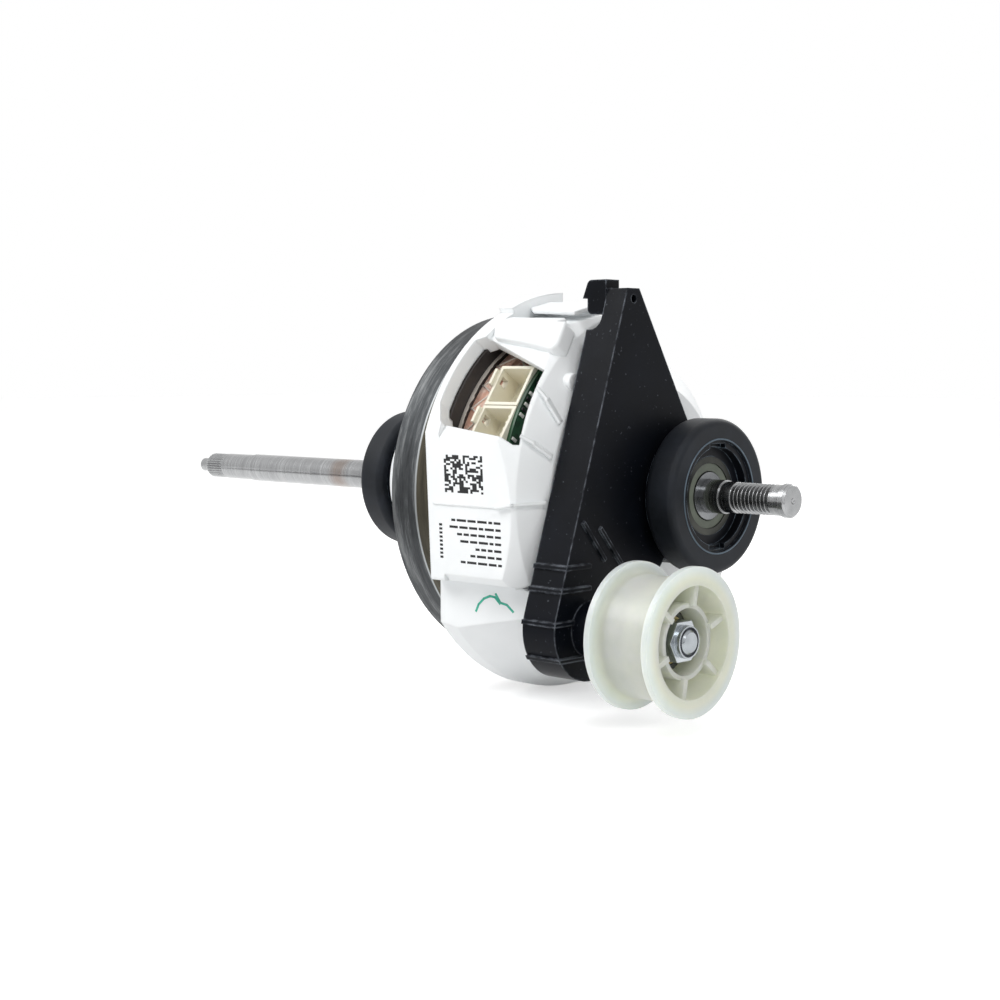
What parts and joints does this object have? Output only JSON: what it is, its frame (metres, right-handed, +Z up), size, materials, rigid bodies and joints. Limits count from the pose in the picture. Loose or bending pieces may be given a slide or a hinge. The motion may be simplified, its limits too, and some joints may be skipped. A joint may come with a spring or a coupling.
{
  "type": "dryer motor",
  "caption": "Electric dryer motor with a long through-shaft, a grooved belt end, rubber mounting rings, a windowed front shield and a swinging belt tensioner with an idler pulley.",
  "frame": {"origin": "on the shaft's axis, at the middle of the front rubber ring", "axes": "+X along the shaft towards the grooved belt end, +Z up as the motor hangs in its cradle, and the idler pulley on the -Y side"},
  "size_m": [0.331, 0.1444, 0.1518],
  "materials": {
    "laminated_steel": "stacked sheets, sawn look",
    "copper_winding": "enamelled",
    "insulation_plastic": "moulded",
    "white_plastic": "moulded, satin",
    "black_plastic": "moulded, satin",
    "ring_rubber": "moulded",
    "shield_rubber": "greased",
    "shaft_steel": "turned and ground",
    "bearing_steel": "ground",
    "zinc_steel": "zinc plated",
    "yellow_zinc": "yellow passivated",
    "ferrite": "sintered",
    "board_laminate": "lacquered",
    "ivory_plastic": "moulded",
    "plated_brass": "tinned",
    "translucent_plastic": "moulded, slightly translucent"
  },
  "bodies": {
    "root": {"stator_core": "laminated_steel", "stator_winding": "copper_winding", "front_insulation_frame": "insulation_plastic", "rear_insulation_frame": "insulation_plastic", "front_shield": "white_plastic", "rear_shield": "white_plastic", "clamp_screws": "zinc_steel", "circuit_board": "board_laminate", "board_screws": "zinc_steel", "connector_1": "ivory_plastic", "connector_2": "ivory_plastic", "connector_pins": "plated_brass", "front_bearing_carrier": "black_plastic", "rear_bearing_carrier": "black_plastic", "front_rubber_ring": "ring_rubber", "rear_rubber_ring": "ring_rubber", "front_bearing_outer_ring": "bearing_steel", "front_bearing_shields": "shield_rubber", "rear_bearing_outer_ring": "bearing_steel", "rear_bearing_shields": "shield_rubber"},
    "rotor": {"shaft": "shaft_steel", "rotor_core": "laminated_steel", "rotor_magnets": "ferrite", "rotor_end_plates": "insulation_plastic", "front_bearing_inner_ring": "bearing_steel", "front_bearing_balls": "bearing_steel", "rear_bearing_inner_ring": "bearing_steel", "rear_bearing_balls": "bearing_steel"},
    "tensioner": {"tensioner_arm": "black_plastic", "idler_bolt": "zinc_steel", "idler_spacer": "zinc_steel", "idler_washer": "yellow_zinc", "idler_nut": "zinc_steel", "nut_insert": "black_plastic", "idler_bearing_inner_ring": "bearing_steel", "idler_bearing_balls": "bearing_steel"},
    "idler": {"idler_pulley": "translucent_plastic", "idler_bearing_outer_ring": "bearing_steel", "idler_bearing_shields": "shield_rubber"}
  },
  "joints": [
    {"name": "rotor_spin", "type": "hinge", "parent": "root", "child": "rotor", "pos_m": [0, 0, 0], "axis": [1, 0, 0], "continuous": true},
    {"name": "tensioner_swing", "type": "hinge", "parent": "root", "child": "tensioner", "pos_m": [-0.01655, 0, 0], "axis": [1, 0, 0], "range_deg": [-30, 0]},
    {"name": "idler_spin", "type": "hinge", "parent": "tensioner", "child": "idler", "pos_m": [0.0221, -0.052, -0.043], "axis": [1, 0, 0], "continuous": true}
  ]
}
